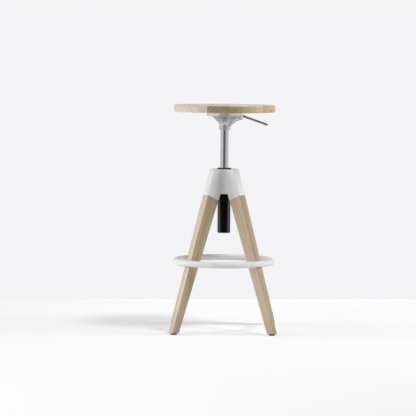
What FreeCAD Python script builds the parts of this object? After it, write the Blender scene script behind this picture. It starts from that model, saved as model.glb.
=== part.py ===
import FreeCAD, Part
import math
import os

# Height-adjustable swivel bar stool on four splayed wooden legs.
# Millimetres, +Z up. The origin is on the floor, under the stool's axis.
# The seat is drawn raised, as in use at a high counter. Front is -Y and the lever points to +X.

# Stance
base_height = 558.0
foot_outer_radius = 251.9
glide_height = 5.0

# Legs: tapered planks that stand on the plan's diagonals
leg_foot_depth = 30.8
leg_foot_width = 20.0
leg_edge_radius = 1.6
leg_names = ("front_right", "back_right", "back_left", "front_left")
first_leg_angle = -45.0

# Hub casting: an X of four sockets, flush with the legs, with hollow valleys between them
hub_reach = 59.3
hub_arm_depth = 63.8
hub_arm_width = 25.0
hub_skirt = 87.0
hub_core_height = 85.0
hub_valley_radius = 30.0
hub_wall = 4.0
hub_core_wall = 20.5
hub_roof = 23.0
hub_edge_radius = 2.0
socket_clearance = 0.2

# Leg screws, down through the roof of the hub
leg_screw_radius = 50.0
leg_screw_diameter = 6.0
leg_screw_length = 60.0
leg_screw_head_diameter = 11.0
leg_screw_head_height = 3.2
leg_screw_socket = 4.0

# Foot ring of bent tube, let into the outer faces of the legs
ring_height = 238.0
ring_tube_diameter = 22.0
ring_tube_wall = 2.0
ring_proud = 7.2
ring_clearance = 0.2
ring_insert_diameter = 9.0
ring_insert_length = 12.0
ring_screw_diameter = 6.0
ring_screw_head_diameter = 11.0
ring_screw_head_height = 4.0
ring_screw_sink = 5.0
ring_screw_grip = 10.0
ring_screw_socket = 4.0

# Foot glides
glide_diameter = 20.0
glide_edge_radius = 1.2
glide_stem_diameter = 6.0
glide_stem_length = 15.0

# Column that hangs in the hub
column_diameter = 45.0
column_wall = 2.0
column_length = 220.5
column_recess = 8.0
column_floor = 3.0

# Guide bush in the top of the column
bush_length = 66.0
bush_collar_diameter = 48.6
bush_collar_height = 4.5
bush_collar_chamfer = 1.0

# Thrust bearing on the floor of the column
race_height = 2.0
race_diameter = 24.0
ball_diameter = 3.2
ball_count = 10
ball_circle_diameter = 17.0
cage_height = 1.4
cage_margin = 0.9
bearing_clearance = 0.1

# Piston rod and what it carries
rod_diameter = 10.0
rod_journal_diameter = 8.0
rod_end_drop = 6.0
rod_tip_length = 4.0
washer_height = 1.5
washer_diameter = 20.0
clip_height = 1.2
clip_diameter = 14.0
clip_groove_depth = 1.0
clip_mouth = 5.0
bumper_height = 8.7
bumper_diameter = 22.0
bumper_gap = 1.0
piston_height = 12.0
piston_ring_height = 3.0
piston_ring_depth = 2.0

# Gas spring tube
lift_stroke = 125.0
lowered_gap = 6.0
tube_diameter = 28.0
tube_bore = 24.0
tube_lip = 1.5
tube_lip_depth = 1.6
tube_taper_shrink = 1.6
guide_height = 10.0
seal_height = 4.0
piston_gap = 0.5
valve_height = 41.5
valve_floor = 4.0
valve_port_diameter = 4.0
release_pin_diameter = 8.0
release_pin_seat = 6.0
release_pin_rise = 8.0
release_pin_dome = 8.0

# Seat plate: a trumpet under a deep flange, with a round-bottomed arm for the lever
plate_height = 62.5
plate_diameter = 125.0
plate_rim = 14.0
plate_flare_diameter = 97.0
plate_neck_diameter = 38.0
plate_neck_length = 19.5
plate_flare_hollow = 2.5
plate_neck_fillet = 7.0
plate_rim_fillet = 1.0
plate_floor_drop = 22.5
plate_well_reach = 10.0
plate_well_width = 18.0
plate_well_corner = 4.0
plate_tube_gap = 2.0
arm_reach = 64.0
arm_width = 30.0
arm_end_wall = 4.0
arm_root_rise = 8.5
arm_tip_drop = 26.0
arm_hollow = 6.7
arm_edge_radius = 8.0
arm_pocket_drop = 25.0
arm_pocket_margin = 1.0

# Lever: a bent rod in a rocker that turns on a cross pin
lever_diameter = 8.0
lever_drop = 12.5
lever_bend_reach = 57.6
lever_bend_radius = 14.0
lever_bend_margin = 0.5
lever_slope = 19.2
lever_tip_reach = 149.7
lever_hold = 16.0
lever_travel = 5.0
pivot_reach = 50.0
pivot_drop = 20.0
pivot_diameter = 4.0
pivot_recess = 0.5
rocker_width = 14.0
rocker_wall = 2.0
rocker_boss_wall = 2.5
finger_width = 8.0
finger_height = 5.2
finger_overhang = 6.0
finger_tip_radius = 2.5
finger_gap = 0.3
lever_slot_clearance = 1.0

# Seat and its screws
seat_diameter = 350.0
seat_thickness = 24.0
seat_edge_radius = 2.5
seat_screw_circle_radius = 55.0
seat_screw_diameter = 5.0
seat_screw_length = 20.0
seat_screw_head_diameter = 10.0
seat_screw_head_height = 3.5
seat_screw_socket = 3.0
seat_screw_grip = 5.5
seat_screw_count = 4
seat_hole_extra_depth = 2.0

# Fits, all radial
fixed_fit = 0.05
running_fit = 0.06
screw_clearance = 0.3
head_clearance = 0.5
thread_clearance = 0.05
socket_depth_share = 0.6

# Cutting tools reach this far past what they cut
overcut = 1.0

Vector = FreeCAD.Vector
UP = Vector(0, 0, 1)
ORIGIN = Vector(0, 0, 0)

# Heights, worked out from the sizes
hub_bottom = base_height - hub_core_height
lip_height = base_height - hub_skirt
tenon_top = base_height - hub_roof
column_bottom = base_height - column_length
floor_bottom = column_bottom + column_recess
floor_top = floor_bottom + column_floor
lower_race_top = floor_top + race_height
balls_top = lower_race_top + ball_diameter
upper_race_bottom = balls_top + bearing_clearance
upper_race_top = upper_race_bottom + race_height
bumper_top = upper_race_top + bumper_height
tube_bottom = bumper_top + bumper_gap + lift_stroke
guide_bottom = tube_bottom + tube_lip
seal_bottom = guide_bottom + guide_height
piston_bottom = seal_bottom + seal_height + piston_gap
piston_top = piston_bottom + piston_height
collar_top = base_height + bush_collar_height
neck_bottom = collar_top + lowered_gap + lift_stroke
neck_top = neck_bottom + plate_neck_length
plate_top = neck_bottom + plate_height
rim_bottom = plate_top - plate_rim
plate_floor = plate_top - plate_floor_drop
tube_top = plate_floor - plate_tube_gap
valve_bottom = tube_top - valve_height
pin_top = tube_top + release_pin_rise
lever_axis = plate_top - lever_drop
pivot_height = plate_top - pivot_drop

# Radii, worked out from the sizes
column_radius = column_diameter / 2
column_bore_radius = column_radius - column_wall
journal_radius = rod_journal_diameter / 2
rod_radius = rod_diameter / 2
tube_radius = tube_diameter / 2
tube_bore_radius = tube_bore / 2
tube_top_radius = tube_radius - tube_taper_shrink / 2
pin_radius = release_pin_diameter / 2
neck_radius = plate_neck_diameter / 2
plate_radius = plate_diameter / 2
ring_tube_radius = ring_tube_diameter / 2
lever_radius = lever_diameter / 2

# The lever's bend starts a little outside the rocker
lever_setback = lever_bend_radius * math.tan(math.radians(lever_slope / 2))
rocker_end = lever_bend_reach - lever_setback - lever_bend_margin
rocker_start = rocker_end - lever_hold

# Faces of a leg as straight lines in its own upright plane: radius against height
leg_rise = base_height - glide_height
foot_inner_radius = foot_outer_radius - leg_foot_depth
outer_slope = (foot_outer_radius - hub_reach) / leg_rise
inner_slope = (foot_inner_radius - hub_reach + hub_arm_depth) / leg_rise
shoulder_slope = (outer_slope + inner_slope) / 2


def outer_face(height):
    """Radius of a leg's outer face at this height."""
    return foot_outer_radius - (height - glide_height) * outer_slope


def inner_face(height):
    """Radius of a leg's inner face at this height."""
    return foot_inner_radius - (height - glide_height) * inner_slope


def shoulder_height(radius):
    """Height of the joint between leg and hub, which lies square to the leg."""
    return lip_height + (radius - outer_face(lip_height)) * shoulder_slope


def shoulder_point(foot_radius, slope):
    """Where a face that leans in by this slope meets the joint between leg and hub."""
    rise = shoulder_height(foot_radius) - glide_height
    height = glide_height + rise / (1 + slope * shoulder_slope)
    return (foot_radius - (height - glide_height) * slope, height)


tenon_inner_radius = column_radius + hub_core_wall
tenon_outer_foot = foot_outer_radius - hub_wall * math.hypot(1, outer_slope)
foot_middle_radius = (foot_outer_radius + foot_inner_radius) / 2
ring_radius = outer_face(ring_height) + ring_proud - ring_tube_radius


def save(name, solids):
    """Write one node from the separate solids that it is made of."""
    Part.makeCompound(solids).exportStep("parts/" + name + ".step")


def upright_face(points):
    """A flat face in the X-Z plane through (x, z) points."""
    corners = [Vector(x, 0, z) for x, z in points]
    return Part.Face(Part.makePolygon(corners + corners[:1]))


def turned(points):
    """A solid turned about the stool's axis from (radius, height) points."""
    return upright_face(points).revolve(ORIGIN, UP, 360)


def tube(outer_radius, inner_radius, bottom, top):
    """A plain tube about the stool's axis."""
    return turned([(inner_radius, bottom), (outer_radius, bottom), (outer_radius, top), (inner_radius, top)])


def slab(face, width):
    """A face of the X-Z plane, thickened to both sides of that plane."""
    solid = face.extrude(Vector(0, width, 0))
    solid.translate(Vector(0, -width / 2, 0))
    return solid


def turn(shape, angle):
    """A copy of a shape, turned about the stool's axis."""
    copy = shape.copy()
    copy.rotate(ORIGIN, UP, angle)
    return copy


def leg_angles():
    """Directions of the four legs in plan."""
    step = 360.0 / len(leg_names)
    return [first_leg_angle + step * index for index in range(len(leg_names))]


def around(shape):
    """Copies of a shape made for the +X direction, one for each leg."""
    return [turn(shape, angle) for angle in leg_angles()]


def hex_socket(across_flats, depth):
    """Cutter for a hexagon socket that goes down from the origin."""
    corner_radius = across_flats / math.sqrt(3)
    corners = [turn_point(corner_radius, 0, 60.0 * index) for index in range(6)]
    return Part.Face(Part.makePolygon(corners + corners[:1])).extrude(Vector(0, 0, -depth))


def tenon_face(clearance, drop):
    """Outline of a leg's tenon, or of its socket when it is given some clearance."""
    inner = tenon_inner_radius - clearance
    outer_foot = tenon_outer_foot + clearance
    top = tenon_top + clearance
    outer_top = outer_foot - (top - glide_height) * outer_slope
    outer_low = shoulder_point(outer_foot, outer_slope)
    inner_low = shoulder_point(inner, 0)
    lowered = [(inner_low[0], inner_low[1] - drop), (outer_low[0] + drop * outer_slope, outer_low[1] - drop)]
    return upright_face(lowered + [(outer_top, top), (inner, top)])


def leg_screw_hole(radius):
    """Cutter for a leg screw's shank, with room below its tip."""
    length = leg_screw_length + 2 * overcut
    return Part.makeCylinder(radius, length, Vector(leg_screw_radius, 0, base_height + overcut), -UP)


def leg_screw_head(clearance):
    """Countersunk head, flush with the top of the hub, or its seat in the hub."""
    top_radius = leg_screw_head_diameter / 2 + clearance
    shank_radius = leg_screw_diameter / 2 + clearance
    seat = Vector(leg_screw_radius, 0, base_height - leg_screw_head_height)
    return Part.makeCone(shank_radius, top_radius, leg_screw_head_height, seat, UP)


def ring_screw_seat():
    """Where a ring screw's head sits, let into the inner face of a leg."""
    return inner_face(ring_height) + ring_screw_sink


def ring_screw_cutter():
    """Cutter for the stepped hole of a ring screw, through a leg."""
    start = Vector(inner_face(ring_height) - ring_tube_diameter, 0, ring_height)
    outward = Vector(1, 0, 0)
    head_radius = ring_screw_head_diameter / 2 + head_clearance
    sink = Part.makeCylinder(head_radius, ring_screw_seat() - start.x, start, outward)
    shank_radius = ring_screw_diameter / 2 + screw_clearance
    shank = Part.makeCylinder(shank_radius, ring_radius - start.x, start, outward)
    return sink.fuse(shank)


def ring_groove():
    """Cutter for the groove that holds the ring, open to the outside."""
    groove_radius = ring_tube_radius + ring_clearance
    bed = Part.makeTorus(ring_radius, groove_radius, Vector(0, 0, ring_height), UP)
    outside = ring_radius + ring_tube_diameter
    mouth = tube(outside, ring_radius, ring_height - groove_radius, ring_height + groove_radius)
    return bed.fuse(mouth)


def make_leg():
    """One leg, along +X: a tapered plank with a tenon, a groove for the ring and holes for its fixings."""
    lip_radius = outer_face(lip_height)
    inner_end = shoulder_point(foot_inner_radius, inner_slope)
    outline = [(foot_inner_radius, glide_height), (foot_outer_radius, glide_height)]
    side = upright_face(outline + [(lip_radius, lip_height), inner_end])
    plank = slab(side, 2 * hub_arm_width)
    half_foot = leg_foot_width / 2
    half_top = hub_arm_width / 2
    front_corners = [(-half_foot, glide_height), (half_foot, glide_height)]
    front_corners += [(half_top, lip_height), (-half_top, lip_height)]
    corners = [Vector(0, y, z) for y, z in front_corners]
    front = Part.Face(Part.makePolygon(corners + corners[:1])).extrude(Vector(2 * foot_outer_radius, 0, 0))
    plank = plank.common(front)
    long_edges = [edge for edge in plank.Edges if edge.BoundBox.ZLength > leg_rise / 2]
    plank = plank.makeFillet(leg_edge_radius, long_edges)
    tenon = slab(tenon_face(0, 0), hub_arm_width - 2 * hub_wall)
    stem_hole = Part.makeCylinder(glide_stem_diameter / 2 + fixed_fit, glide_stem_length + overcut,
                                  Vector(foot_middle_radius, 0, glide_height), UP)
    thread = leg_screw_hole(leg_screw_diameter / 2 + thread_clearance)
    leg = plank.fuse(tenon).removeSplitter()
    return leg.cut([ring_groove(), ring_screw_cutter(), stem_hole, thread])


def make_glide():
    """Round pad with a stem that is driven into the foot of a leg."""
    pad = Part.makeCylinder(glide_diameter / 2, glide_height)
    sole_edges = [edge for edge in pad.Edges if edge.BoundBox.ZMax < glide_height / 2]
    pad = pad.makeFillet(glide_edge_radius, sole_edges)
    stem = Part.makeCylinder(glide_stem_diameter / 2, glide_height + glide_stem_length)
    glide = pad.fuse(stem).removeSplitter()
    glide.translate(Vector(foot_middle_radius, 0, 0))
    return glide


def make_hub_core():
    """Upright core of the hub, with a hollow valley between each two arms."""
    half_width = hub_arm_width / 2
    tangent_reach = half_width + hub_valley_radius
    valley_centre = math.sqrt(2) * tangent_reach
    valley_low = valley_centre - hub_valley_radius
    edges = []
    for angle in leg_angles():
        start = turn_point(tangent_reach, -half_width, angle)
        end = turn_point(tangent_reach, half_width, angle)
        middle = turn_point(valley_low, 0, angle + 180.0 / len(leg_names))
        following = turn_point(tangent_reach, -half_width, angle + 360.0 / len(leg_names))
        edges.append(Part.LineSegment(start, end).toShape())
        edges.append(Part.Arc(end, middle, following).toShape())
    core = Part.Face(Part.Wire(edges)).extrude(Vector(0, 0, hub_core_height))
    core.translate(Vector(0, 0, hub_bottom))
    return core


def turn_point(x, y, angle):
    """A point of the plan, turned about the stool's axis."""
    radians = math.radians(angle)
    turned_x = x * math.cos(radians) - y * math.sin(radians)
    return Vector(turned_x, x * math.sin(radians) + y * math.cos(radians), 0)


def make_hub():
    """X-shaped casting: four sockets that carry on the lines of the legs, round a core for the column."""
    lip = (outer_face(lip_height), lip_height)
    inner_end = shoulder_point(foot_inner_radius, inner_slope)
    root = [(0, base_height), (0, hub_bottom), (inner_face(hub_bottom), hub_bottom)]
    arm = slab(upright_face([inner_end, lip, (hub_reach, base_height)] + root), hub_arm_width)
    body = make_hub_core().fuse(around(arm)).removeSplitter()
    rounded = []
    for edge in body.Edges:
        middle = edge.valueAt((edge.FirstParameter + edge.LastParameter) / 2)
        on_top = edge.BoundBox.ZMin > base_height - hub_edge_radius / 2
        outside = math.hypot(middle.x, middle.y) > hub_reach
        upright = edge.BoundBox.ZLength > hub_skirt / 2
        if on_top or (outside and upright):
            rounded.append(edge)
    body = body.makeFillet(hub_edge_radius, rounded)
    socket = slab(tenon_face(socket_clearance, hub_wall), hub_arm_width - 2 * hub_wall + 2 * socket_clearance)
    bore_bottom = Vector(0, 0, hub_bottom - overcut)
    bore = Part.makeCylinder(column_radius + fixed_fit, hub_core_height + 2 * overcut, bore_bottom)
    screw_hole = leg_screw_hole(leg_screw_diameter / 2 + screw_clearance).fuse(leg_screw_head(fixed_fit))
    return body.cut(around(socket) + [bore] + around(screw_hole))


def make_leg_screw():
    """Countersunk screw with a hexagon socket."""
    top = Vector(leg_screw_radius, 0, base_height)
    shank = Part.makeCylinder(leg_screw_diameter / 2, leg_screw_length, top, -UP)
    recess = hex_socket(leg_screw_socket, leg_screw_head_height * socket_depth_share)
    recess.translate(top)
    return shank.fuse(leg_screw_head(0)).removeSplitter().cut(recess)


def make_foot_ring():
    """Ring of bent tube, drilled from the inside for its threaded inserts."""
    centre = Vector(0, 0, ring_height)
    outside = Part.makeTorus(ring_radius, ring_tube_radius, centre, UP)
    inside = Part.makeTorus(ring_radius, ring_tube_radius - ring_tube_wall, centre, UP)
    hole_radius = ring_insert_diameter / 2 + fixed_fit
    start = Vector(ring_radius - ring_tube_diameter, 0, ring_height)
    hole = Part.makeCylinder(hole_radius, ring_tube_diameter, start, Vector(1, 0, 0))
    return outside.cut([inside] + around(hole))


def make_ring_insert():
    """Threaded insert in the inner wall of the ring."""
    insert_radius = ring_insert_diameter / 2
    mouth_depth = math.sqrt(ring_tube_radius ** 2 - insert_radius ** 2)
    start = Vector(ring_radius - mouth_depth, 0, ring_height)
    outward = Vector(1, 0, 0)
    body = Part.makeCylinder(insert_radius, ring_insert_length, start, outward)
    thread = Part.makeCylinder(ring_screw_diameter / 2 + thread_clearance, ring_insert_length, start, outward)
    return body.cut(thread)


def make_ring_screw():
    """Cap screw from the inner face of a leg into the ring."""
    outward = Vector(1, 0, 0)
    seat = Vector(ring_screw_seat(), 0, ring_height)
    length = ring_radius - ring_tube_radius + ring_screw_grip - seat.x
    shank = Part.makeCylinder(ring_screw_diameter / 2, length, seat, outward)
    head = Part.makeCylinder(ring_screw_head_diameter / 2, ring_screw_head_height, seat, -outward)
    recess = hex_socket(ring_screw_socket, ring_screw_head_height * socket_depth_share)
    recess.rotate(ORIGIN, Vector(0, 1, 0), -90)
    recess.translate(Vector(seat.x - ring_screw_head_height, 0, ring_height))
    return shank.fuse(head).removeSplitter().cut(recess)


def make_column():
    """Column tube with a welded floor, set back from its lower end."""
    hole_radius = journal_radius + screw_clearance
    outline = [(column_radius, column_bottom), (column_radius, base_height)]
    outline += [(column_bore_radius, base_height), (column_bore_radius, floor_top)]
    outline += [(hole_radius, floor_top), (hole_radius, floor_bottom)]
    outline += [(column_bore_radius, floor_bottom), (column_bore_radius, column_bottom)]
    return turned(outline)


def make_bush():
    """Guide bush in the top of the column, with a collar that rests on the hub."""
    inner = tube_radius + running_fit
    outer = column_bore_radius - fixed_fit
    collar = bush_collar_diameter / 2
    outline = [(inner, base_height - bush_length), (outer, base_height - bush_length), (outer, base_height)]
    outline += [(collar, base_height), (collar, collar_top - bush_collar_chamfer)]
    outline += [(collar - bush_collar_chamfer, collar_top), (inner, collar_top)]
    return turned(outline)


def make_race(bottom, clearance):
    """Flat race of the thrust bearing, round the journal of the rod."""
    return tube(race_diameter / 2, journal_radius + clearance, bottom, bottom + race_height)


def make_balls():
    """Balls of the thrust bearing."""
    balls = []
    for index in range(ball_count):
        centre = turn_point(ball_circle_diameter / 2, 0, 360.0 * index / ball_count)
        centre.z = lower_race_top + ball_diameter / 2
        balls.append(Part.makeSphere(ball_diameter / 2, centre))
    return balls


def make_cage():
    """Flat cage that keeps the balls apart."""
    reach = ball_diameter / 2 + cage_margin
    middle = lower_race_top + ball_diameter / 2
    circle = ball_circle_diameter / 2
    plate = tube(circle + reach, circle - reach, middle - cage_height / 2, middle + cage_height / 2)
    holes = []
    for index in range(ball_count):
        foot = turn_point(circle, 0, 360.0 * index / ball_count)
        foot.z = middle - cage_height
        holes.append(Part.makeCylinder(ball_diameter / 2 + bearing_clearance, 2 * cage_height, foot))
    return plate.cut(holes)


def make_piston_rod():
    """Rod with a journal below its shoulder and a groove for the clip."""
    washer_bottom = floor_bottom - bearing_clearance - washer_height
    clip_bottom = washer_bottom - clip_height
    groove_radius = journal_radius - clip_groove_depth
    rod_end = floor_bottom - rod_end_drop
    outline = [(0, rod_end), (journal_radius, rod_end), (journal_radius, clip_bottom)]
    outline += [(groove_radius, clip_bottom), (groove_radius, washer_bottom), (journal_radius, washer_bottom)]
    outline += [(journal_radius, upper_race_top), (rod_radius, upper_race_top)]
    rod_top = piston_top + rod_tip_length
    outline += [(rod_radius, rod_top), (0, rod_top)]
    return turned(outline)


def make_washer():
    """Washer between the floor of the column and the clip."""
    top = floor_bottom - bearing_clearance
    return tube(washer_diameter / 2, journal_radius + fixed_fit, top - washer_height, top)


def make_clip():
    """Open clip that snaps into the groove of the rod."""
    top = floor_bottom - bearing_clearance - washer_height
    ring = tube(clip_diameter / 2, journal_radius - clip_groove_depth + fixed_fit, top - clip_height, top)
    corner = Vector(0, -clip_mouth / 2, top - clip_height - overcut)
    return ring.cut(Part.makeBox(clip_diameter, clip_mouth, clip_height + 2 * overcut, corner))


def make_piston():
    """Piston on the rod, grooved for its ring."""
    inner = rod_radius + fixed_fit
    outer = tube_bore_radius - running_fit
    groove = outer - piston_ring_depth
    groove_low = piston_bottom + (piston_height - piston_ring_height) / 2
    groove_high = groove_low + piston_ring_height
    outline = [(inner, piston_bottom), (outer, piston_bottom), (outer, groove_low), (groove, groove_low)]
    outline += [(groove, groove_high), (outer, groove_high), (outer, piston_top), (inner, piston_top)]
    return turned(outline)


def make_piston_ring():
    """Ring in the groove of the piston."""
    outer = tube_bore_radius - running_fit
    low = piston_bottom + (piston_height - piston_ring_height) / 2
    return tube(outer, outer - piston_ring_depth + fixed_fit, low, low + piston_ring_height)


def make_pressure_tube():
    """Gas spring tube: rolled in at the bottom, tapered where the seat plate sits on it."""
    lip_radius = tube_bore_radius - tube_lip_depth
    outline = [(lip_radius, tube_bottom), (tube_radius, tube_bottom), (tube_radius, neck_bottom)]
    outline += [(tube_top_radius, tube_top), (tube_bore_radius, tube_top)]
    outline += [(tube_bore_radius, guide_bottom), (lip_radius, guide_bottom)]
    return turned(outline)


def make_rod_part(bottom, height):
    """Ring that fills the tube and runs on the rod."""
    return tube(tube_bore_radius - fixed_fit, rod_radius + running_fit, bottom, bottom + height)


def make_valve():
    """Plug of the gas spring, bored for the release pin."""
    outer = tube_bore_radius - fixed_fit
    bore = pin_radius + running_fit
    port = valve_port_diameter / 2
    bore_floor = valve_bottom + valve_floor
    outline = [(port, valve_bottom), (outer, valve_bottom), (outer, tube_top), (bore, tube_top)]
    outline += [(bore, bore_floor), (port, bore_floor)]
    return turned(outline)


def hollow_arc(start, end, hollow):
    """Arc from start to end that dips by this much below its chord, towards the axis."""
    middle = (start + end) * 0.5
    chord = end - start
    normal = Vector(-chord.z, 0, chord.x).normalize()
    return Part.Arc(start, middle + normal * hollow, end).toShape()


def polyline(points):
    """Straight edges through a list of points."""
    return [Part.LineSegment(first, second).toShape() for first, second in zip(points, points[1:])]


def make_release_pin():
    """Button of the gas spring, with a domed top."""
    bottom = valve_bottom + valve_floor + release_pin_seat
    half_dome = math.asin(pin_radius / release_pin_dome)
    dome_centre = Vector(0, 0, pin_top - release_pin_dome)
    dome = []
    for angle in (half_dome, half_dome / 2, 0):
        dome.append(dome_centre + Vector(math.sin(angle), 0, math.cos(angle)) * release_pin_dome)
    sides = [Vector(0, 0, bottom), Vector(pin_radius, 0, bottom), dome[0]]
    outline = Part.Wire(polyline(sides) + [Part.Arc(*dome).toShape()] + polyline([dome[2], sides[0]]))
    return Part.Face(outline).revolve(ORIGIN, UP, 360)


def make_trumpet():
    """Turned body of the seat plate: a neck that flares out to the underside of a flange."""
    neck_corner = Vector(neck_radius, 0, neck_top)
    flare_corner = Vector(plate_flare_diameter / 2, 0, rim_bottom)
    below = [Vector(0, 0, neck_bottom), Vector(neck_radius, 0, neck_bottom), neck_corner]
    flange = [flare_corner, Vector(plate_radius, 0, rim_bottom), Vector(plate_radius, 0, plate_top)]
    above = flange + [Vector(0, 0, plate_top), below[0]]
    flare = hollow_arc(neck_corner, flare_corner, plate_flare_hollow)
    outline = Part.Wire(polyline(below) + [flare] + polyline(above))
    trumpet = Part.Face(outline).revolve(ORIGIN, UP, 360)
    neck_edges = [edge for edge in trumpet.Edges if edge.BoundBox.ZLength < overcut
                  and abs(edge.BoundBox.ZMax - neck_top) < overcut]
    trumpet = trumpet.makeFillet(plate_neck_fillet, neck_edges)
    rim_edges = [edge for edge in trumpet.Edges if edge.BoundBox.XMax > plate_radius - overcut
                 and abs(edge.BoundBox.ZMax - rim_bottom) < overcut]
    return trumpet.makeFillet(plate_rim_fillet, rim_edges)


def make_arm():
    """Arm of the seat plate that houses the lever, hollow on its underside like the flare."""
    root = Vector(neck_radius, 0, neck_bottom + arm_root_rise)
    tip = Vector(arm_reach, 0, plate_top - arm_tip_drop)
    beyond = [tip, Vector(arm_reach, 0, plate_top), Vector(0, 0, plate_top), Vector(0, 0, root.z), root]
    outline = Part.Wire([hollow_arc(root, tip, arm_hollow)] + polyline(beyond))
    arm = slab(Part.Face(outline), arm_width)
    rounded = []
    for edge in arm.Edges:
        box = edge.BoundBox
        underside = box.XMin > neck_radius - overcut and box.XLength > overcut and box.ZMin < tip.z - overcut
        end_corner = box.XMin > arm_reach - overcut and box.ZMin < plate_top - overcut
        if underside or end_corner:
            rounded.append(edge)
    return arm.makeFillet(arm_edge_radius, rounded)


def make_plate_well():
    """Cutter for the open well of the seat plate, in which the rocker moves."""
    length = plate_well_reach + arm_reach - arm_end_wall
    corner = Vector(-plate_well_reach, -plate_well_width / 2, plate_floor)
    well = Part.makeBox(length, plate_well_width, plate_floor_drop + overcut, corner)
    upright = [edge for edge in well.Edges if edge.BoundBox.ZLength > overcut]
    well = well.makeFillet(plate_well_corner, upright)
    half_pocket = pivot_diameter / 2 + rocker_boss_wall + arm_pocket_margin
    pocket_corner = Vector(pivot_reach - half_pocket, -plate_well_width / 2, plate_top - arm_pocket_drop)
    pocket = Part.makeBox(2 * half_pocket, plate_well_width, arm_pocket_drop, pocket_corner)
    return well.fuse(pocket)


def make_lever_slot():
    """Cutter for the slot in the end of the arm, with room for the lever's travel."""
    slope = math.tan(math.radians(lever_slope))
    half_height = lever_radius / math.cos(math.radians(lever_slope))
    drop_at_end = (arm_reach - lever_bend_reach) * slope
    rise = (arm_reach - pivot_reach) * math.sin(math.radians(lever_travel))
    low = lever_axis - drop_at_end - half_height - lever_slot_clearance
    high = lever_axis + lever_radius + rise + lever_slot_clearance
    half_width = lever_radius + lever_slot_clearance
    corner = Vector(arm_reach - arm_end_wall - overcut, -half_width, low)
    return Part.makeBox(arm_end_wall + 2 * overcut, 2 * half_width, high - low, corner)


def seat_screw_places():
    """Plan positions of the screws that hold the seat."""
    step = 360.0 / seat_screw_count
    angles = [(index + 0.5) * step for index in range(seat_screw_count)]
    return [turn_point(seat_screw_circle_radius, 0, angle) for angle in angles]


def upright_cylinder(place, radius, bottom, top):
    """Upright cylinder at a place of the plan."""
    return Part.makeCylinder(radius, top - bottom, Vector(place.x, place.y, bottom))


def make_seat_plate():
    """Trumpet and arm in one casting, bored for the gas spring and hollowed for the lever."""
    body = make_trumpet().fuse(make_arm()).removeSplitter()
    taper = turned([(0, neck_bottom), (tube_radius + fixed_fit, neck_bottom),
                    (tube_top_radius + fixed_fit, tube_top), (tube_top_radius + fixed_fit, plate_floor),
                    (0, plate_floor)])
    pin_hole_radius = pivot_diameter / 2 + fixed_fit
    pin_hole = Part.makeCylinder(pin_hole_radius, 2 * plate_diameter,
                                 Vector(pivot_reach, -plate_diameter, pivot_height), Vector(0, 1, 0))
    head_seat = plate_top - seat_screw_grip
    screw_holes = []
    for place in seat_screw_places():
        head_radius = seat_screw_head_diameter / 2 + head_clearance
        screw_holes.append(upright_cylinder(place, head_radius, neck_bottom, head_seat))
        shank_radius = seat_screw_diameter / 2 + screw_clearance
        screw_holes.append(upright_cylinder(place, shank_radius, neck_bottom, plate_top + overcut))
    return body.cut([taper, make_plate_well(), make_lever_slot(), pin_hole] + screw_holes)


def make_seat_screws():
    """Screws that hold the seat from below."""
    screws = []
    head_seat = plate_top - seat_screw_grip
    head_bottom = head_seat - seat_screw_head_height
    for place in seat_screw_places():
        head = upright_cylinder(place, seat_screw_head_diameter / 2, head_bottom, head_seat)
        shank = upright_cylinder(place, seat_screw_diameter / 2, head_bottom, head_seat + seat_screw_length)
        recess = hex_socket(seat_screw_socket, seat_screw_head_height * socket_depth_share)
        recess.translate(Vector(place.x, place.y, head_bottom + seat_screw_head_height * socket_depth_share))
        screws.append(head.fuse(shank).removeSplitter().cut(recess))
    return screws


def make_seat():
    """Round seat board with blind holes for its screws."""
    board = Part.makeCylinder(seat_diameter / 2, seat_thickness, Vector(0, 0, plate_top))
    round_edges = [edge for edge in board.Edges if edge.BoundBox.ZLength < overcut]
    board = board.makeFillet(seat_edge_radius, round_edges)
    hole_top = plate_top - seat_screw_grip + seat_screw_length + seat_hole_extra_depth
    hole_radius = seat_screw_diameter / 2 + thread_clearance
    holes = [upright_cylinder(place, hole_radius, plate_top, hole_top) for place in seat_screw_places()]
    return board.cut(holes)


def lever_pipe(radius):
    """Round bar along the lever's line: level in the rocker, bent down outside it."""
    slope = math.radians(lever_slope)
    downhill = Vector(math.cos(slope), 0, -math.sin(slope))
    half_turn = Vector(math.sin(slope / 2), 0, math.cos(slope / 2))
    bend = Vector(lever_bend_reach, 0, lever_axis)
    start = Vector(rocker_start, 0, lever_axis)
    bend_start = bend - Vector(lever_setback, 0, 0)
    bend_centre = bend_start - UP * lever_bend_radius
    bend_middle = bend_centre + half_turn * lever_bend_radius
    bend_end = bend + downhill * lever_setback
    path = polyline([start, bend_start]) + [Part.Arc(bend_start, bend_middle, bend_end).toShape()]
    path += polyline([bend_end, lever_tip()])
    section = Part.Wire(Part.makeCircle(radius, start, Vector(1, 0, 0)))
    return Part.Wire(path).makePipeShell([section], True, False)


def lever_tip():
    """Centre of the lever's rounded tip."""
    run = lever_tip_reach - lever_radius - lever_bend_reach
    return Vector(lever_bend_reach + run, 0, lever_axis - run * math.tan(math.radians(lever_slope)))


def make_lever_rod():
    """Bent rod with a rounded tip."""
    return lever_pipe(lever_radius).fuse(Part.makeSphere(lever_radius, lever_tip())).removeSplitter()


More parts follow.
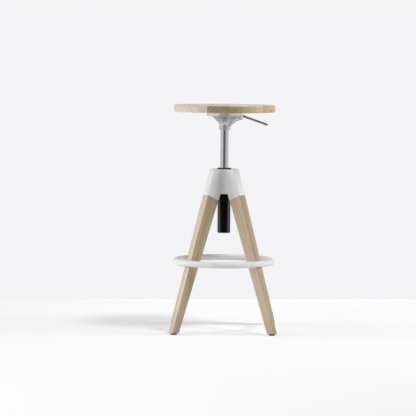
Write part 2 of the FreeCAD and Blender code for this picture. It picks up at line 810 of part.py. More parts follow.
def make_rocker():
    """Block that clamps the rod, turns on the cross pin and presses the release pin with its finger."""
    block_corner = Vector(rocker_start, -rocker_width / 2, pivot_height)
    block_height = lever_axis + lever_radius + rocker_wall - pivot_height
    block = Part.makeBox(lever_hold, rocker_width, block_height, block_corner)
    across = Vector(0, 1, 0)
    pin_start = Vector(pivot_reach, -rocker_width / 2, pivot_height)
    boss = Part.makeCylinder(pivot_diameter / 2 + rocker_boss_wall, rocker_width, pin_start, across)
    finger_corner = Vector(-finger_overhang, -finger_width / 2, pin_top + finger_gap)
    finger_length = finger_overhang + rocker_start + overcut
    finger = Part.makeBox(finger_length, finger_width, finger_height, finger_corner)
    tip_edges = [edge for edge in finger.Edges if edge.BoundBox.XMax < 0 and edge.BoundBox.ZLength > overcut]
    finger = finger.makeFillet(finger_tip_radius, tip_edges)
    pin_bore = Part.makeCylinder(pivot_diameter / 2 + running_fit, rocker_width, pin_start, across)
    body = block.fuse([boss, finger]).removeSplitter()
    return body.cut([lever_pipe(lever_radius + fixed_fit), pin_bore])


def make_pivot_pin():
    """Cross pin of the lever, held in the sides of the arm."""
    length = arm_width - 2 * pivot_recess
    start = Vector(pivot_reach, -length / 2, pivot_height)
    return Part.makeCylinder(pivot_diameter / 2, length, start, Vector(0, 1, 0))


os.makedirs("parts", exist_ok=True)

# Base
for name, leg, glide in zip(leg_names, around(make_leg()), around(make_glide())):
    save("leg_" + name, [leg])
    save("foot_glide_" + name, [glide])
save("hub_casting", [make_hub()])
save("leg_screws", around(make_leg_screw()))
save("foot_ring", [make_foot_ring()])
save("ring_inserts", around(make_ring_insert()))
save("ring_screws", around(make_ring_screw()))
save("column_tube", [make_column()])
save("guide_bush", [make_bush()])
save("thrust_race_lower", [make_race(floor_top, screw_clearance)])
save("thrust_balls", make_balls())
save("ball_cage", [make_cage()])

# Rod, which turns with the seat
save("thrust_race_upper", [make_race(upper_race_bottom, fixed_fit)])
save("piston_rod", [make_piston_rod()])
save("end_washer", [make_washer()])
save("retaining_clip", [make_clip()])
save("rubber_bumper", [tube(bumper_diameter / 2, rod_radius + fixed_fit, upper_race_top, bumper_top)])
save("piston", [make_piston()])
save("piston_ring", [make_piston_ring()])

# Seat, which rises on the rod
save("pressure_tube", [make_pressure_tube()])
save("rod_guide", [make_rod_part(guide_bottom, guide_height)])
save("rod_seal", [make_rod_part(seal_bottom, seal_height)])
save("valve_body", [make_valve()])
save("release_pin", [make_release_pin()])
save("seat_plate", [make_seat_plate()])
save("seat_screws", make_seat_screws())
save("seat_board", [make_seat()])

# Lever
save("lever_pivot_pin", [make_pivot_pin()])
save("lever_rocker", [make_rocker()])
save("lever_rod", [make_lever_rod()])
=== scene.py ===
import math

import bmesh
import bpy
from mathutils import Euler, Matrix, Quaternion, Vector


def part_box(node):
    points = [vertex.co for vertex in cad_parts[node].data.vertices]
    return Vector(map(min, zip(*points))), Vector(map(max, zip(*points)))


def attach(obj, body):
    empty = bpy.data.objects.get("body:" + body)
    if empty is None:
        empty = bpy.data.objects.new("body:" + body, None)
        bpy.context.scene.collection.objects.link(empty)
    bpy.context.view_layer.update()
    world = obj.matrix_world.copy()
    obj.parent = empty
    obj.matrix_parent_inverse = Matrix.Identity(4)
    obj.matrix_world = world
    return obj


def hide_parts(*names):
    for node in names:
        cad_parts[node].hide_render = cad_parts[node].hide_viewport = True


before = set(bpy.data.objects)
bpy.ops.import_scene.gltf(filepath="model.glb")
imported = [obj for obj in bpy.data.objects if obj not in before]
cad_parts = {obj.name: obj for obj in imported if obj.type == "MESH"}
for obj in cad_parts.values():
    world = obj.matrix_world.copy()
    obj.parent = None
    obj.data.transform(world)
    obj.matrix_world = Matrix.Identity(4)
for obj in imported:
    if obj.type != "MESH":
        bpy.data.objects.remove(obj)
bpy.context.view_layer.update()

# Camera: where it stands, what it looks at and how it is tilted, in metres and degrees
CAMERA_PLACE = (0.01, -8.55, 0.99)
CAMERA_AIM = (-0.0553, 0.0, 0.4224)
CAMERA_ROLL = 0.45
CAMERA_LENS = 213.9

# Stage: a pale floor that turns into a pale wall along one line, which lies at a slight angle in degrees
FLOOR_NEAR = 2.2
FLOOR_FAR = 3.2
FLOOR_SIDE = 3.2
FLOOR_DROP = 0.0002
FLOOR_ALBEDO = (0.82, 0.82, 0.83, 1.0)
WALL_DISTANCE = 1.02
WALL_TURN = 4.5
WALL_COLOUR = (0.896, 0.896, 0.913, 1.0)

# The floor as it is seen: whiter near the stool, with a faint glow that changes from place to place,
# and with the wall's colour far away
FLOOR_SEEN = (0.95, 0.95, 0.962, 1.0)
SEEN_SIDE = (0.8, 1.6)
GLOW_LEVEL = 0.164
GLOW_SLOPE = (0.036, 0.104, 0.0)
GLOW_CURVE = (-0.104, 0.067, 0.0)
GLOW_LIMIT = 0.40
FLOOR_FADE = (2.15, 2.9)

# Studio that reflections show: brightness from the camera's side (-1) round to the wall (1)
STUDIO_STOPS = ((-1.0, 0.12), (-0.90, 0.13), (-0.76, 0.62), (0.0, 0.66), (0.92, 0.57), (1.0, 0.90))

# Soft light from the wall and from overhead
WALL_FULL = 0.9
WALL_LIGHT = 0.45
OVERHEAD_START = 0.55
OVERHEAD_FULL = 0.85
OVERHEAD_LIGHT = 0.10

# Lamps: place, target, width, height, power and whether reflections show them
LAMPS = {
    "key": ((1.60, -1.40, 5.00), (0.0, 0.0, 0.35), 0.95, 0.95, 76.0, True),
    "left": ((-2.85, 0.0, 1.30), (0.0, 0.0, 0.45), 1.8, 2.4, 47.0, False),
    "front_left": ((-2.0, -2.0, 1.30), (0.0, 0.0, 0.45), 1.8, 2.4, 28.0, False),
    "right": ((2.82, -0.40, 1.30), (0.0, 0.0, 0.45), 1.8, 2.4, 51.0, False),
}

# How far a rounded edge's normal has to turn away to count as an edge, as a dot product
EDGE_RANGE = (0.99, 0.85)
EDGE_SAMPLES = 4

# Wood: how far the rings sway, their tones, and the scales of its marks per metre along and across the grain
RING_SWAY = 0.014
RING_TONES = ((0.0, 0.10), (0.55, 0.30), (0.86, 0.95), (0.97, 0.80), (1.0, 0.10))
SWAY_SCALE = (2.2, 9.0, 9.0)
STREAK_SCALE = (1.8, 62.0, 62.0)
VEIN_SCALE = (4.0, 170.0, 170.0)
FIBRE_SCALE = (16.0, 900.0, 900.0)
PORE_SCALE = (34.0, 1500.0, 1500.0)

# Share of each mark in the wood's shade; rings have one share along the grain and one on end grain
SHADE_START = -0.25
RING_SHARES = (0.20, 0.50)
STREAK_RANGE = (0.28, 0.74)
STREAK_SHARE = 0.42
VEIN_RANGE = (0.25, 0.75)
VEIN_SHARE = 0.36
FIBRE_SHARE = 0.22
PORE_RANGE = (0.62, 0.72)
PORE_SHARE = 0.30
PORE_COLOUR = (0.22, 0.15, 0.09, 1.0)
CENTRED = (-0.5, 0.5)

# Surface of the wood: gloss, relief and a thin coat of oil
WOOD_ROUGHNESS = (0.44, 0.58)
WORN_POLISH = -0.08
PORE_DEPTH = -0.7
WOOD_RELIEF = 0.00012
WOOD_RELIEF_STRENGTH = 0.5
WOOD_SPECULAR = 0.4
OIL_WEIGHT = 0.3
OIL_ROUGHNESS = 0.15

# Marks on the wood: edges rubbed pale by wear, a dark colour used as painted shade on edges, and legs that
# turn darker towards the foot
WORN_WOOD = (0.84, 0.74, 0.62, 1.0)
PAINTED_EDGE_SHADE_AND_FOOT_WOOD = (0.20, 0.14, 0.08, 1.0)
FOOT_DARK_REACH = 0.085
FOOT_DARK_SHARE = 0.30
FOOT_DARK_FIBRES = (0.3, 0.6)
FOOT_DARK_LEAST = 0.6

# Seat board: glued staves that run from front to back, each with its own place in the log
SEAT_EDGE_RADIUS = 0.0025
SEAT_SIDES = 256
SEAT_EDGE_STEPS = 6
SEAT_WELD = 1e-6
STAVE_JOINTS = (-0.059, 0.016, 0.130)
STAVE_CHAMFER = 0.0003
STAVE_SMOOTHING = 30.0
# The tone by the way a face points is, on the staves' tops, a painted highlight (a painted shade on the
# first stave)
STAVES = (
    # The first two staves have a dark edge colour, painted shade on their rounded top edges; the others have
    # edges rubbed pale by wear
    dict(pith=(-0.017, -0.148), pitch=0.006, light=(0.84, 0.73, 0.63, 1.0), dark=(0.60, 0.49, 0.39, 1.0),
         tone=0.50, lean=(0.0, 4.4, 0.0), face_tone_and_painted_light=(0.0, 0.0, 0.45), end_shade=(0.96, 0.92, 0.88, 1.0),
         end_power=3.0, edge=(PAINTED_EDGE_SHADE_AND_FOOT_WOOD, 0.002, 0.08)),
    # End power 1.0 carries this stave's end-grain darkening up its rounded top edge, partly as painted shade
    dict(pith=(-0.052, -0.068), pitch=0.012, light=(0.74, 0.63, 0.48, 1.0), dark=(0.44, 0.34, 0.22, 1.0),
         tone=0.63, lean=(0.0, 0.0, 0.0), face_tone_and_painted_light=(0.0, 0.0, -0.05), end_shade=(0.74, 0.70, 0.64, 1.0),
         end_power=1.0, edge=(PAINTED_EDGE_SHADE_AND_FOOT_WOOD, 0.003, 0.35)),
    dict(pith=(0.013, 0.162), pitch=0.006, light=(0.79, 0.65, 0.485, 1.0), dark=(0.46, 0.34, 0.21, 1.0),
         tone=0.48, lean=(0.0, 4.0, 0.0), face_tone_and_painted_light=(0.0, 0.0, -0.40), end_shade=(0.80, 0.76, 0.70, 1.0),
         end_power=3.0, edge=(WORN_WOOD, 0.002, 0.12)),
    dict(pith=(-0.004, 0.0), pitch=0.009, light=(0.75, 0.58, 0.42, 1.0), dark=(0.44, 0.29, 0.18, 1.0),
         tone=0.57, lean=(0.0, 0.0, 0.0), face_tone_and_painted_light=(0.0, 0.0, -0.40), end_shade=(0.82, 0.74, 0.66, 1.0),
         end_power=3.0, edge=(WORN_WOOD, 0.002, 0.12)),
)

# Legs: what their boards share, and what each has of its own
PALE_WOOD = (0.80, 0.685, 0.565, 1.0)
TAN_WOOD = (0.80, 0.652, 0.505, 1.0)
LEG_END_BAND = 0.001
# The legs' dark edge colour is painted shade along their arrises
LEG_BOARD = dict(pitch=0.004, dark=(0.42, 0.31, 0.18, 1.0), end_shade=(0.72, 0.64, 0.56, 1.0), end_power=3.0,
                 edge=(PAINTED_EDGE_SHADE_AND_FOOT_WOOD, 0.0035, 0.50), foot_darkening=FOOT_DARK_SHARE)
# Each leg's tone by the way a face points is partly its own figure and partly painted light and shade
LEGS = {
    "front_right": dict(pith=(0.070, 0.027), light=TAN_WOOD, tone=0.52, lean=(0.34, 0.0, -2.0),
                        face_tone_and_painted_light=(0.0, 0.14, -0.32)),
    "back_right": dict(pith=(-0.040, 0.050), light=PALE_WOOD, tone=0.50, lean=(0.20, 0.0, 3.0),
                       face_tone_and_painted_light=(0.0, -0.15, 0.10)),
    "back_left": dict(pith=(0.030, -0.060), light=TAN_WOOD, tone=0.55, lean=(-0.30, 2.0, 0.0),
                      face_tone_and_painted_light=(0.0, 0.12, -0.12)),
    "front_left": dict(pith=(-0.060, -0.025), light=PALE_WOOD, tone=0.40, lean=(0.36, 0.0, -5.0),
                       face_tone_and_painted_light=(0.0, 0.36, 0.22)),
}

# Coatings: how the colour drifts, how edges are rubbed, where feet scuff, and painted shade on faces turned
# downwards
DRIFT_SCALE = 14.0
DRIFT_RANGE = (0.3, 0.7)
DRIFT_DARKER = 0.94
ROUGH_DRIFT = (0.85, 1.15)
RUB_WIDTH = 0.0015
RUB_SCALE = 90.0
RUB_RANGE = (0.42, 0.62)
RUB_SHARE = 0.35
SCUFF_SCALE = (60.0, 60.0, 260.0)
SCUFF_RANGE = (0.56, 0.70)
SCUFF_UPWARD = (0.35, 0.90)
# Painted shade on faces turned downwards: how far down they face, and the colour they darken to
PAINTED_SHADE_RANGE = (-0.35, -0.85)
PAINTED_SHADE_COLOUR = (0.05, 0.05, 0.05, 1.0)
PEEL_STRENGTH = 0.4
RIM_BLEND = 0.5
RIM_FACING = (0.10, 0.24)
RIM_LEAST = 0.1

# Each coating with its nodes: peel is the relief's scale and depth, worn the colour of what is rubbed,
# fade a colour below two heights, matt a stretch along x that is rougher and less metallic, and rim the
# gloss at grazing angles
SCUFFED = (0.62, 0.62, 0.61, 1.0)
BARED = (0.16, 0.16, 0.16, 1.0)
COATINGS = {
    "white_casting": (dict(colour=(0.86, 0.86, 0.86, 1.0), roughness=0.40, peel=(900.0, 0.00006),
                           worn=SCUFFED),
                      ("hub_casting",)),
    "white_tube": (dict(colour=(0.87, 0.87, 0.87, 1.0), roughness=0.36, peel=(900.0, 0.00005), worn=SCUFFED,
                        scuffs=0.45),
                   ("foot_ring",)),
    "black_tube": (dict(colour=(0.004, 0.004, 0.005, 1.0), roughness=0.08, peel=(1100.0, 0.00001),
                        worn=BARED, rim=1.0),
                   ("column_tube",)),
    "black_plastic": (dict(colour=(0.014, 0.014, 0.014, 1.0), roughness=0.42, peel=(1600.0, 0.00004),
                           worn=BARED),
                      ("guide_bush",)),
    "glide_plastic": (dict(colour=(0.008, 0.008, 0.008, 1.0), roughness=0.50, peel=(1600.0, 0.00004),
                           worn=BARED, gloss=0.2),
                      ["foot_glide_" + corner for corner in LEGS]),
    "rubber": (dict(colour=(0.025, 0.025, 0.025, 1.0), roughness=0.65, peel=(1200.0, 0.00004), worn=BARED),
               ("rod_seal", "rubber_bumper")),
    "inner_plastic": (dict(colour=(0.72, 0.71, 0.66, 1.0), roughness=0.40, peel=(1200.0, 0.00003),
                           worn=SCUFFED),
                      ("piston_ring",)),
    # The seat plate's downward faces are darkened with painted shade
    "grey_casting": (dict(colour=(0.88, 0.88, 0.89, 1.0), roughness=0.30, peel=(1300.0, 0.00004),
                          worn=(0.92, 0.92, 0.93, 1.0), fade=((0.66, 0.66, 0.66, 1.0), 0.705, 0.740),
                          painted_underside_shade=0.70, metallic=0.75, matt=(0.014, 0.026, 0.20, 0.25)),
                     ("seat_plate",)),
}

# Metals: smudges in the gloss, and edges that are a little dulled
SMUDGE_SCALE = 26.0
SMUDGE_ROUGH = (0.35, 0.75)
SMUDGE_SHADE = (0.3, 0.8)
SMUDGE_DARKER = 0.9
DULL_WIDTH = 0.0006
DULL_GRAIN = (0.40, 0.60)
DULL_LEAST = 0.3
DULL_DARKER = 0.75
GRAIN_STRENGTH = 0.3

# Each metal with its nodes: grain is the scale per metre and the depth of its relief
FINE = (700.0, 700.0, 700.0)
TURNED = (60.0, 60.0, 1600.0)
METALS = {
    "chrome_tube": (dict(colour=(0.77, 0.79, 0.82, 1.0), roughness=0.07, smudge=0.10,
                         grain=(TURNED, 0.00001)),
                    ("pressure_tube",)),
    # The lever's base colour is darkened and warmed as a painted reflection of the wooden seat above it
    "chrome_lever": (dict(colour=(0.38, 0.36, 0.32, 1.0), roughness=0.08, smudge=0.10,
                          grain=(FINE, 0.00001)),
                     ("lever_rod",)),
    "zinc_steel": (dict(colour=(0.58, 0.58, 0.59, 1.0), roughness=0.28, smudge=0.15, grain=(FINE, 0.00002)),
                   ("leg_screws", "ring_screws", "ring_inserts", "seat_screws", "lever_pivot_pin",
                    "lever_rocker", "end_washer", "retaining_clip")),
    "ground_steel": (dict(colour=(0.64, 0.64, 0.65, 1.0), roughness=0.18, smudge=0.12,
                          grain=(TURNED, 0.00001)),
                     ("piston_rod", "thrust_race_lower", "thrust_race_upper", "thrust_balls",
                      "release_pin")),
    "cage_brass": (dict(colour=(0.70, 0.52, 0.25, 1.0), roughness=0.26, smudge=0.15, grain=(FINE, 0.00002)),
                   ("ball_cage",)),
    "inner_aluminium": (dict(colour=(0.66, 0.67, 0.68, 1.0), roughness=0.26, smudge=0.15,
                             grain=(TURNED, 0.00002)),
                        ("piston", "rod_guide", "valve_body")),
}

ACROSS = (1.0, 0.0, 0.0)
UPWARD = (0.0, 0.0, 1.0)


class Finish:
    """A material or world under construction: adds shader nodes and joins them up."""

    def __init__(self, target):
        self.target = target
        target.use_nodes = True
        self.tree = target.node_tree
        self.tree.nodes.clear()
        self.coordinates = self.add("TexCoord", {}, {}).outputs

    def add(self, kind, settings, inputs):
        """Add a node; each input is a plain value or another node's output."""
        node = self.tree.nodes.new("ShaderNode" + kind)
        for name, value in settings.items():
            setattr(node, name, value)
        for key, value in inputs.items():
            if isinstance(value, bpy.types.NodeSocket):
                self.tree.links.new(value, node.inputs[key])
            else:
                node.inputs[key].default_value = value
        return node

    def math(self, operation, *operands):
        """Result of a sum on single values."""
        return self.add("Math", {"operation": operation}, dict(enumerate(operands))).outputs[0]

    def vector_math(self, operation, *operands):
        """Node that works on vectors."""
        return self.add("VectorMath", {"operation": operation}, dict(enumerate(operands))).outputs

    def placed(self, origin, turn):
        """Object coordinates, seen from a frame with this origin and turn."""
        inputs = {"Vector": self.coordinates["Object"], "Location": origin, "Rotation": turn}
        return self.add("Mapping", {"vector_type": "TEXTURE"}, inputs).outputs[0]

    def stretched(self, vector, factors):
        """Coordinates multiplied axis by axis."""
        return self.vector_math("MULTIPLY", vector, factors)[0]

    def noise(self, vector, detail=2.0, scale=1.0):
        """Soft noise from 0 to 1."""
        return self.add("TexNoise", {}, {"Vector": vector, "Scale": scale, "Detail": detail}).outputs[0]

    def dot(self, first, second):
        """Dot product of two vectors."""
        return self.vector_math("DOT_PRODUCT", first, second)["Value"]

    def length(self, vector):
        """Length of a vector."""
        return self.vector_math("LENGTH", vector)["Value"]

    def edge(self, width):
        """1 along sharp edges and 0 away from them."""
        rounded = self.add("Bevel", {"samples": EDGE_SAMPLES}, {"Radius": width}).outputs[0]
        true_normal = self.add("NewGeometry", {}, {}).outputs["Normal"]
        return self.spread(self.dot(rounded, true_normal), *EDGE_RANGE)

    def spread(self, value, low, high, to_low=0.0, to_high=1.0):
        """A value carried from one range to another and held at its ends."""
        return self.add("MapRange", {}, {0: value, 1: low, 2: high, 3: to_low, 4: to_high}).outputs[0]

    def ramp(self, value, stops):
        """A grey level that follows these stops."""
        node = self.add("ValToRGB", {}, {0: value})
        elements = node.color_ramp.elements
        while len(elements) < len(stops):
            elements.new(1.0)
        for element, (place, level) in zip(elements, stops):
            element.position = place
            element.color = (level, level, level, 1.0)
        return node.outputs[0]

    def mix(self, share, first, second, mode="MIX"):
        """Two colours mixed."""
        settings = {"data_type": "RGBA", "blend_type": mode}
        return self.add("Mix", settings, {0: share, 6: first, 7: second}).outputs[2]

    def bump(self, height, depth, strength):
        """Normal of a surface with fine relief, this deep in metres."""
        return self.add("Bump", {}, {"Height": height, "Distance": depth, "Strength": strength}).outputs[0]

    def surface(self, **inputs):
        """The surface shader; underscores in the names stand for spaces."""
        named = {key.replace("_", " "): value for key, value in inputs.items()}
        shader = self.add("BsdfPrincipled", {}, named)
        self.add("OutputMaterial", {}, {"Surface": shader.outputs[0]})
        return self.target


def new_finish(name):
    """An empty material to build up."""
    return Finish(bpy.data.materials.new(name))


def darkened(colour, factor):
    """A darker shade of an opaque colour."""
    return tuple(channel * factor for channel in colour[:3]) + (1.0,)


def wood(name, place, turn, *, pith, pitch, light, dark, tone, lean, face_tone_and_painted_light, end_shade, end_power, edge,
         foot_darkening=0.0):
    """Open-grained wood: rings round a pith line, streaks and pores along it, other shades on end grain."""
    finish = new_finish(name)
    local = finish.placed(place, turn)
    from_pith = finish.vector_math("SUBTRACT", local, (0.0,) + pith)[0]
    radius = finish.length(finish.stretched(from_pith, (0.0, 1.0, 1.0)))
    sway = finish.noise(finish.stretched(from_pith, SWAY_SCALE))
    swayed = finish.math("MULTIPLY_ADD", sway, RING_SWAY, radius)
    rings = finish.ramp(finish.math("FRACT", finish.math("DIVIDE", swayed, pitch)), RING_TONES)
    streaks = finish.noise(finish.stretched(from_pith, STREAK_SCALE), 3.0)
    streaks = finish.spread(streaks, *STREAK_RANGE, *CENTRED)
    veins = finish.noise(finish.stretched(from_pith, VEIN_SCALE), 2.0)
    veins = finish.spread(veins, *VEIN_RANGE, *CENTRED)
    fibres = finish.noise(finish.stretched(from_pith, FIBRE_SCALE), 3.0)
    pores = finish.noise(finish.stretched(from_pith, PORE_SCALE), 1.0)
    pores = finish.spread(pores, *PORE_RANGE)

    normal = finish.coordinates["Normal"]
    to_object = Euler(turn).to_matrix()
    along_grain = finish.dot(normal, to_object @ Vector(ACROSS))
    end_grain = finish.math("POWER", finish.math("ABSOLUTE", along_grain), end_power)
    shade = finish.math("ADD", finish.dot(local, lean), tone + SHADE_START)
    # Tone by the way each face points: painted highlight and shade on the seat's top, and partly painted
    # light and shade on the legs
    shade = finish.math("ADD", finish.dot(normal, to_object @ Vector(face_tone_and_painted_light)), shade)
    shade = finish.math("MULTIPLY_ADD", rings, finish.spread(end_grain, 0.0, 1.0, *RING_SHARES), shade)
    for mark, share in ((streaks, STREAK_SHARE), (veins, VEIN_SHARE), (fibres, FIBRE_SHARE)):
        shade = finish.math("MULTIPLY_ADD", mark, share, shade)
    colour = finish.mix(finish.spread(shade, 0.0, 1.0), light, dark)
    colour = finish.mix(finish.math("MULTIPLY", pores, PORE_SHARE), colour, PORE_COLOUR)
    colour = finish.mix(end_grain, colour, end_shade, "MULTIPLY")

    # Legs turn darker towards the foot, broken up by the fibres
    if foot_darkening:
        low = finish.spread(finish.dot(local, ACROSS), 0.0, FOOT_DARK_REACH, foot_darkening, 0.0)
        marked = finish.spread(fibres, *FOOT_DARK_FIBRES, FOOT_DARK_LEAST, 1.0)
        colour = finish.mix(finish.math("MULTIPLY", low, marked), colour, PAINTED_EDGE_SHADE_AND_FOOT_WOOD)
    # Edges: pale ones are wear, dark ones are painted shade along arrises and rounded top edges
    edge_wear_and_painted_shade, edge_width, edge_share = edge
    worn = finish.edge(edge_width)
    colour = finish.mix(finish.math("MULTIPLY", worn, edge_share), colour, edge_wear_and_painted_shade)
    roughness = finish.spread(streaks, *CENTRED, *WOOD_ROUGHNESS)
    roughness = finish.math("MULTIPLY_ADD", worn, WORN_POLISH, roughness)
    relief = finish.math("MULTIPLY_ADD", pores, PORE_DEPTH, fibres)
    return finish.surface(Base_Color=colour, Roughness=roughness, Specular_IOR_Level=WOOD_SPECULAR,
                          Coat_Weight=OIL_WEIGHT, Coat_Roughness=OIL_ROUGHNESS,
                          Normal=finish.bump(relief, WOOD_RELIEF, WOOD_RELIEF_STRENGTH))


def coated(name, *, colour, roughness, peel, worn, fade=None, painted_underside_shade=0.0, metallic=0.0, rim=None,
           scuffs=0.0, matt=None, gloss=0.5):
    """Paint, powder coat or moulded skin: one colour that drifts, with fine relief and rubbed edges."""
    finish = new_finish(name)
    place = finish.coordinates["Object"]
    upward = finish.dot(finish.coordinates["Normal"], UPWARD)
    drift = finish.noise(place, 3.0, DRIFT_SCALE)
    shade = finish.mix(finish.spread(drift, *DRIFT_RANGE), colour, darkened(colour, DRIFT_DARKER))
    if fade:
        low_colour, start, end = fade
        shade = finish.mix(finish.spread(finish.dot(place, UPWARD), start, end), low_colour, shade)
    patches = finish.spread(finish.noise(place, 3.0, RUB_SCALE), *RUB_RANGE)
    rubbed = finish.math("MULTIPLY", finish.edge(RUB_WIDTH), patches)
    shade = finish.mix(finish.math("MULTIPLY", rubbed, RUB_SHARE), shade, worn)
    if scuffs:
        marks = finish.spread(finish.noise(finish.stretched(place, SCUFF_SCALE), 4.0), *SCUFF_RANGE)
        trodden = finish.math("MULTIPLY", marks, finish.spread(upward, *SCUFF_UPWARD, 0.0, scuffs))
        shade = finish.mix(trodden, shade, worn)
    # Painted shade: faces turned downwards darken towards near black
    if painted_underside_shade:
        painted_shade_share = finish.spread(upward, *PAINTED_SHADE_RANGE, 0.0, painted_underside_shade)
        shade = finish.mix(painted_shade_share, shade, PAINTED_SHADE_COLOUR)
    rough = finish.spread(drift, *DRIFT_RANGE, *(roughness * factor for factor in ROUGH_DRIFT))
    if matt:
        start, end, extra, dulled = matt
        along = finish.dot(place, ACROSS)
        rough = finish.math("ADD", rough, finish.spread(along, start, end, 0.0, extra))
        metallic = finish.spread(along, start, end, metallic, dulled)
    if rim:
        facing = finish.add("LayerWeight", {}, {"Blend": RIM_BLEND}).outputs["Facing"]
        gloss = finish.spread(facing, *RIM_FACING, RIM_LEAST, rim)
    peel_scale, peel_depth = peel
    relief = finish.noise(place, 2.0, peel_scale)
    return finish.surface(Base_Color=shade, Roughness=rough, Metallic=metallic, Specular_IOR_Level=gloss,
                          Normal=finish.bump(relief, peel_depth, PEEL_STRENGTH))


def metal(name, *, colour, roughness, smudge, grain):
    """Bare or plated metal: faint smudges in its gloss, a fine grain and dulled edges."""
    finish = new_finish(name)
    place = finish.coordinates["Object"]
    grain_scale, grain_depth = grain
    smudges = finish.noise(place, 4.0, SMUDGE_SCALE)
    relief = finish.noise(finish.stretched(place, grain_scale), 2.0)
    rough = finish.spread(smudges, *SMUDGE_ROUGH, roughness, roughness + smudge)
    shade = finish.mix(finish.spread(smudges, *SMUDGE_SHADE), colour, darkened(colour, SMUDGE_DARKER))
    brushed = finish.spread(relief, *DULL_GRAIN, DULL_LEAST, 1.0)
    dulled = finish.math("MULTIPLY", finish.edge(DULL_WIDTH), brushed)
    shade = finish.mix(dulled, shade, darkened(colour, DULL_DARKER))
    return finish.surface(Base_Color=shade, Metallic=1.0, Roughness=rough,
                          Normal=finish.bump(relief, grain_depth, GRAIN_STRENGTH))


def paint(material, *names):
    """Give CAD nodes their material."""
    for name in names:
        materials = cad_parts[name].data.materials
        materials.clear()
        materials.append(material)


def middle(points):
    """Mean of some points."""
    return sum(points, Vector()) / len(points)


def leg_turn(name):
    """Where a leg's grain starts at its foot, and the turn that takes x up along it."""
    points = [vertex.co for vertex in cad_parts[name].data.vertices]
    low = min(point.z for point in points)
    high = max(point.z for point in points)
    foot = middle([point for point in points if point.z < low + LEG_END_BAND])
    head = middle([point for point in points if point.z > high - LEG_END_BAND])
    upward = head - foot
    tilt = math.atan2(math.hypot(upward.x, upward.y), upward.z)
    outward = math.atan2(-upward.y, -upward.x)
    return foot, (0.0, -math.pi / 2 - tilt, outward)


def seat_disc():
    """The whole seat as one turned body with rounded edges."""
    low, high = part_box("seat_board")
    radius = (high.x - low.x) / 2
    inner = radius - SEAT_EDGE_RADIUS
    outline = [(0.0, low.z)]
    for centre_height, first_angle in ((low.z + SEAT_EDGE_RADIUS, -90.0), (high.z - SEAT_EDGE_RADIUS, 0.0)):
        for step in range(SEAT_EDGE_STEPS + 1):
            angle = math.radians(first_angle + 90.0 * step / SEAT_EDGE_STEPS)
            outline.append((inner + SEAT_EDGE_RADIUS * math.cos(angle),
                            centre_height + SEAT_EDGE_RADIUS * math.sin(angle)))
    outline.append((0.0, high.z))
    disc = bmesh.new()
    points = [disc.verts.new((distance, 0.0, height)) for distance, height in outline]
    edges = [disc.edges.new(pair) for pair in zip(points, points[1:])]
    bmesh.ops.spin(disc, geom=points + edges, cent=(0, 0, 0), axis=(0, 0, 1), angle=math.tau,
                   steps=SEAT_SIDES)
    bmesh.ops.remove_doubles(disc, verts=disc.verts, dist=SEAT_WELD)
    bmesh.ops.recalc_face_normals(disc, faces=disc.faces)
    return disc


def stave(name, left, right):
    """One stave of the seat, cut out of the disc between two joints and eased along them."""
    mesh = seat_disc()
    for x, outward in ((left, -1.0), (right, 1.0)):
        if x is None:
            continue
        geometry = mesh.verts[:] + mesh.edges[:] + mesh.faces[:]
        cut = bmesh.ops.bisect_plane(mesh, geom=geometry, plane_co=(x, 0, 0), plane_no=(outward, 0, 0),
                                     clear_outer=True)
        rim = [item for item in cut["geom_cut"] if isinstance(item, bmesh.types.BMEdge)]
        bmesh.ops.contextual_create(mesh, geom=rim)
        bmesh.ops.bevel(mesh, geom=rim, offset=STAVE_CHAMFER, segments=1, affect="EDGES")
    data = bpy.data.meshes.new(name)
    mesh.to_mesh(data)
    mesh.free()
    data.shade_smooth()
    data.set_sharp_from_angle(angle=math.radians(STAVE_SMOOTHING))
    piece = bpy.data.objects.new(name, data)
    bpy.context.scene.collection.objects.link(piece)
    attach(piece, "seat_assembly")
    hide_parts("seat_board")
    return piece


def build_seat():
    """Staves of the seat, each with its own wood."""
    low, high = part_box("seat_board")
    along_y = (0.0, 0.0, math.pi / 2)
    joints = (low.x,) + STAVE_JOINTS + (high.x,)
    for index, board in enumerate(STAVES):
        left, right = joints[index:index + 2]
        cuts = (left if index else None, right if index + 1 < len(STAVES) else None)
        place = ((left + right) / 2, 0.0, (low.z + high.z) / 2)
        piece = stave("seat_stave_%d" % (index + 1), *cuts)
        piece.data.materials.append(wood("seat_wood_%d" % (index + 1), place, along_y, **board))


def finish_legs():
    """Wood of the legs: the grain runs along each one, and each face gets its own tone by the way it points,
    partly the board's own figure and partly painted light and shade.
    """
    for corner, board in LEGS.items():
        name = "leg_" + corner
        paint(wood("wood_" + name, *leg_turn(name), **LEG_BOARD, **board), name)


def finish_nodes():
    """Materials of the other CAD nodes."""
    for make, table in ((coated, COATINGS), (metal, METALS)):
        for name, (values, nodes) in table.items():
            paint(make(name, **values), *nodes)


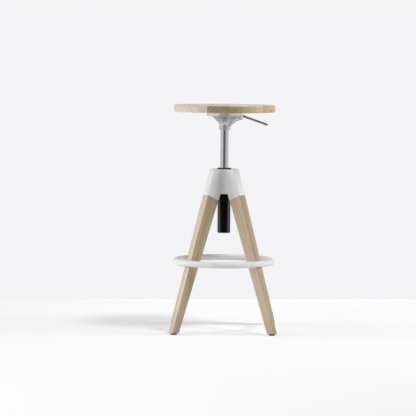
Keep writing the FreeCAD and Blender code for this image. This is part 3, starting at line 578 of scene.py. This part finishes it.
def floor_material():
    """Pale floor that keeps the object's shadow, and takes the wall's colour behind the wall line."""
    finish = new_finish("pale_floor")
    place = finish.coordinates["Object"]
    away = (-math.tan(math.radians(WALL_TURN)), 1.0, 0.0)
    behind = finish.math("GREATER_THAN", finish.dot(place, away), WALL_DISTANCE)
    rays = finish.add("LightPath", {}, {}).outputs
    seen = finish.math("MAXIMUM", rays["Is Camera Ray"], rays["Is Glossy Ray"])
    seen = finish.math("MAXIMUM", seen, rays["Is Transmission Ray"])
    sideways = finish.math("ABSOLUTE", finish.dot(place, ACROSS))
    whitened = finish.math("MULTIPLY", finish.spread(sideways, *SEEN_SIDE, 1.0, 0.0), seen)
    colour = finish.mix(whitened, FLOOR_ALBEDO, FLOOR_SEEN)
    lit = finish.add("BsdfDiffuse", {}, {"Color": colour}).outputs[0]
    glow = finish.math("ADD", finish.dot(place, GLOW_SLOPE), GLOW_LEVEL)
    glow = finish.math("ADD", finish.dot(finish.stretched(place, place), GLOW_CURVE), glow)
    glow = finish.math("MULTIPLY", finish.spread(glow, 0.0, GLOW_LIMIT, 0.0, GLOW_LIMIT), seen)
    glow = finish.add("Emission", {}, {"Color": FLOOR_SEEN, "Strength": glow}).outputs[0]
    floor = finish.add("AddShader", {}, {0: lit, 1: glow}).outputs[0]
    wall = finish.add("Emission", {}, {"Color": WALL_COLOUR}).outputs[0]
    faded = finish.math("MAXIMUM", behind, finish.spread(finish.length(place), *FLOOR_FADE))
    as_wall = finish.math("MULTIPLY", faded, seen)
    shader = finish.add("MixShader", {}, {0: as_wall, 1: floor, 2: wall}).outputs[0]
    finish.add("OutputMaterial", {}, {"Surface": shader})
    return finish.target


def build_stage():
    """Floor and view settings."""
    corners = [(-FLOOR_SIDE, -FLOOR_NEAR, -FLOOR_DROP), (FLOOR_SIDE, -FLOOR_NEAR, -FLOOR_DROP),
               (FLOOR_SIDE, FLOOR_FAR, -FLOOR_DROP), (-FLOOR_SIDE, FLOOR_FAR, -FLOOR_DROP)]
    data = bpy.data.meshes.new("floor")
    data.from_pydata(corners, [], [(0, 1, 2, 3)])
    data.materials.append(floor_material())
    floor = bpy.data.objects.new("floor", data)
    bpy.context.scene.collection.objects.link(floor)
    bpy.context.scene.view_settings.view_transform = "Standard"


def build_world():
    """The wall for the camera; for light and reflections a studio that is dark behind the camera."""
    world = bpy.data.worlds.new("studio")
    bpy.context.scene.world = world
    sky = Finish(world)
    direction = sky.add("SeparateXYZ", {}, {0: sky.coordinates["Generated"]}).outputs
    stops = [((depth + 1.0) / 2, level) for depth, level in STUDIO_STOPS]
    room = sky.ramp(sky.spread(direction["Y"], -1.0, 1.0), stops)
    overhead = sky.spread(direction["Z"], OVERHEAD_START, OVERHEAD_FULL, 0.0, OVERHEAD_LIGHT)
    lit = sky.math("ADD", sky.spread(direction["Y"], 0.0, WALL_FULL, 0.0, WALL_LIGHT), overhead)
    rays = sky.add("LightPath", {}, {}).outputs
    level = sky.add("Mix", {"data_type": "FLOAT"}, {0: rays["Is Glossy Ray"], 2: lit, 3: room}).outputs[0]
    studio = sky.add("Background", {}, {"Color": level}).outputs[0]
    wall = sky.add("Background", {}, {"Color": WALL_COLOUR}).outputs[0]
    seen = sky.math("MAXIMUM", rays["Is Camera Ray"], rays["Is Transmission Ray"])
    shader = sky.add("MixShader", {}, {0: seen, 1: studio, 2: wall}).outputs[0]
    sky.add("OutputWorld", {}, {"Surface": shader})


def aim(thing, place, target, roll=0.0):
    """Put a lamp or camera in its place and point it at a target."""
    direction = Vector(target) - Vector(place)
    thing.location = place
    thing.rotation_mode = "QUATERNION"
    rolled = Quaternion((0, 0, 1), math.radians(roll))
    thing.rotation_quaternion = direction.to_track_quat("-Z", "Y") @ rolled
    bpy.context.scene.collection.objects.link(thing)


def build_lights_and_camera():
    """Soft lamps, and the camera at the photograph's view."""
    for name, (place, target, width, height, power, reflected) in LAMPS.items():
        lamp = bpy.data.lights.new(name, "AREA")
        lamp.shape = "RECTANGLE"
        lamp.size = width
        lamp.size_y = height
        lamp.energy = power
        holder = bpy.data.objects.new(name, lamp)
        holder.visible_glossy = reflected
        aim(holder, place, target)
    camera_data = bpy.data.cameras.new("camera")
    camera_data.lens = CAMERA_LENS
    camera = bpy.data.objects.new("camera", camera_data)
    aim(camera, CAMERA_PLACE, CAMERA_AIM, CAMERA_ROLL)
    bpy.context.scene.camera = camera


build_seat()
finish_legs()
finish_nodes()
build_stage()
build_world()
build_lights_and_camera()
